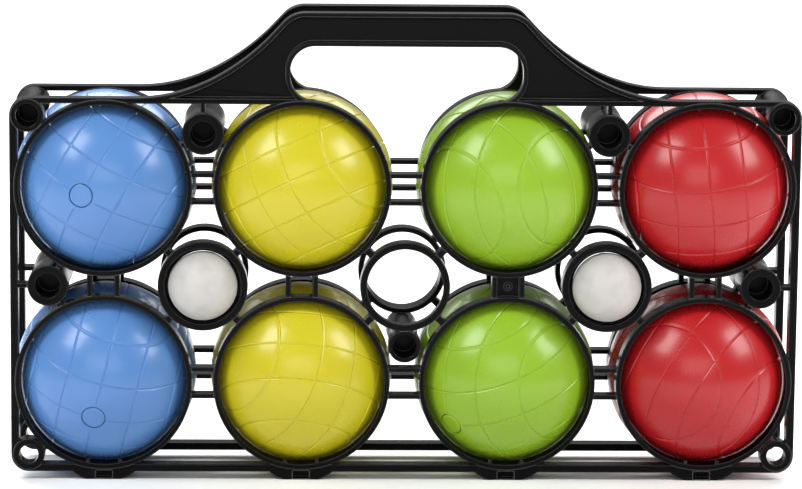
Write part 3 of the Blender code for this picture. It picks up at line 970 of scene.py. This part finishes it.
def placed(name, mesh, centre, turns, material):
    # a copy of a shared mesh, turned into place and then fixed there
    mesh = mesh.copy()
    mesh.name = name
    mesh.transform(Euler([math.radians(t) for t in turns]).to_matrix().to_4x4())
    made = bpy.data.objects.new(name, mesh)
    bpy.context.scene.collection.objects.link(made)
    made.data.materials.clear()
    made.data.materials.append(material)
    made.location = Vector(centre) * mm
    return made


def makeBalls():
    paints = {
        "blue": ((0.085, 0.210, 0.480, 1), (0.050, 0.155, 0.410, 1)),
        "yellow": ((0.510, 0.450, 0.012, 1), (0.440, 0.370, 0.007, 1)),
        "green": ((0.240, 0.405, 0.019, 1), (0.165, 0.330, 0.010, 1)),
        "red": ((0.390, 0.010, 0.013, 1), (0.310, 0.005, 0.008, 1)),
    }
    skinMesh = groovedMesh()
    stopper = plugMesh()
    water = waterSkin()
    for place, (colour, (bright, deep)) in enumerate(paints.items()):
        skin = ballSkin(colour + " ball plastic", bright, deep, place * 3.0)
        for row, height in zip(("upper", "lower"), rows):
            name = colour + "_" + row
            centre = (columns[place], 0, height)
            piece = placed(name + "_grooved_ball", skinMesh, centre, ballTurns[name], skin)
            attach(piece, name)
            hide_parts(name + "_ball_shell")
            disc = placed(name + "_plug_disc", stopper, centre, ballTurns[name], skin)
            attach(disc, name)
            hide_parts(name + "_filler_plug")
            fill = nodes[name + "_water_fill"]
            fill.data.materials.clear()
            fill.data.materials.append(water)
    print("balls done:", len(skinMesh.polygons), "faces each")


jack = {
    "radius": 17.0,
    "seamHeight": 0.12,
    "seamWidth": 0.9,
    "seamTurn": {"left": 35, "right": -50},
    "rows": 64,
    "steps": 96,
}


def makeJacks():
    skin = jackSkin()
    radius = jack["radius"]
    profile = []
    rows = jack["rows"]
    for step in range(rows + 1):
        angle = math.pi * step / rows
        seam = math.exp(-(((angle - math.pi / 2) * radius / (jack["seamWidth"] / 2)) ** 2))
        reach = radius + jack["seamHeight"] * seam
        profile.append((reach * math.sin(angle) if 0 < step < rows else 0, -reach * math.cos(angle)))
    for side in ("left", "right"):
        low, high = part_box("jack_" + side)
        middle = (low + high) / 2 / mm
        piece = turned("jack_" + side + "_ball", profile, 0, 0, jack["steps"])
        piece.data.transform(Matrix.Rotation(math.radians(jack["seamTurn"][side]), 4, "Z"))
        piece.location = middle * mm
        piece.data.shade_smooth()
        piece.data.materials.append(skin)
        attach(piece, "jack_" + side)
        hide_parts("jack_" + side)
    print("jacks done")


def makeStudio():
    floorMesh = bpy.data.meshes.new("floor")
    shape = bmesh.new()
    bmesh.ops.create_grid(shape, x_segments=1, y_segments=1, size=6.0)
    shape.to_mesh(floorMesh)
    shape.free()
    floor = bpy.data.objects.new("floor", floorMesh)
    bpy.context.scene.collection.objects.link(floor)
    paper = Finish("white paper")
    paper.set(Base_Color=(0.90, 0.90, 0.90, 1), Roughness=0.85)
    floorMesh.materials.append(paper.material)

    world = bpy.data.worlds.new("studio air")
    bpy.context.scene.world = world
    world.use_nodes = True
    world.node_tree.nodes["Background"].inputs["Color"].default_value = (1.0, 1.0, 1.0, 1)
    world.node_tree.nodes["Background"].inputs["Strength"].default_value = 0.32

    lamps = {
        "left softbox": {"place": (-0.98, -0.62, 1.28), "size": (0.62, 0.85), "power": 17},
        "right softbox": {"place": (1.20, -0.50, 1.08), "size": (0.55, 0.85), "power": 15},
        "front fill": {"place": (-0.15, -2.4, 0.95), "size": (1.8, 1.0), "power": 13},
        "back panel": {"place": (0.0, 1.5, 1.9), "size": (3.2, 1.8), "power": 115},
    }
    aim = Vector((0, 0.05, 0.11))
    for name, lamp in lamps.items():
        light = bpy.data.lights.new(name, "AREA")
        light.shape = "RECTANGLE"
        light.size, light.size_y = lamp["size"]
        light.energy = lamp["power"]
        holder = bpy.data.objects.new(name, light)
        bpy.context.scene.collection.objects.link(holder)
        holder.location = lamp["place"]
        holder.rotation_euler = (aim - holder.location).to_track_quat("-Z", "Y").to_euler()
    bpy.context.scene.view_settings.view_transform = "Standard"


def makeCamera():
    shot = {
        "place": (-0.0615, -1.84, 0.4186),
        "aim": (-0.0023, -0.0293, 0.1181),
        "roll": 0.57,
        "lens": 168.5,
    }
    camera = bpy.data.cameras.new("camera")
    camera.lens = shot["lens"]
    camera.sensor_width = 36.0
    holder = bpy.data.objects.new("camera", camera)
    bpy.context.scene.collection.objects.link(holder)
    holder.location = shot["place"]
    look = (Vector(shot["aim"]) - holder.location).to_track_quat("-Z", "Y")
    holder.rotation_mode = "QUATERNION"
    holder.rotation_quaternion = look @ Euler((0, 0, math.radians(shot["roll"]))).to_quaternion()
    bpy.context.scene.camera = holder


makeCamera()
makeStudio()
black = blackMoulding("black moulding", 0.0)
carrierFrame("front_frame", "front", -1, black)
carrierFrame("rear_frame", "rear", 1, black)
makeBalls()
makeJacks()
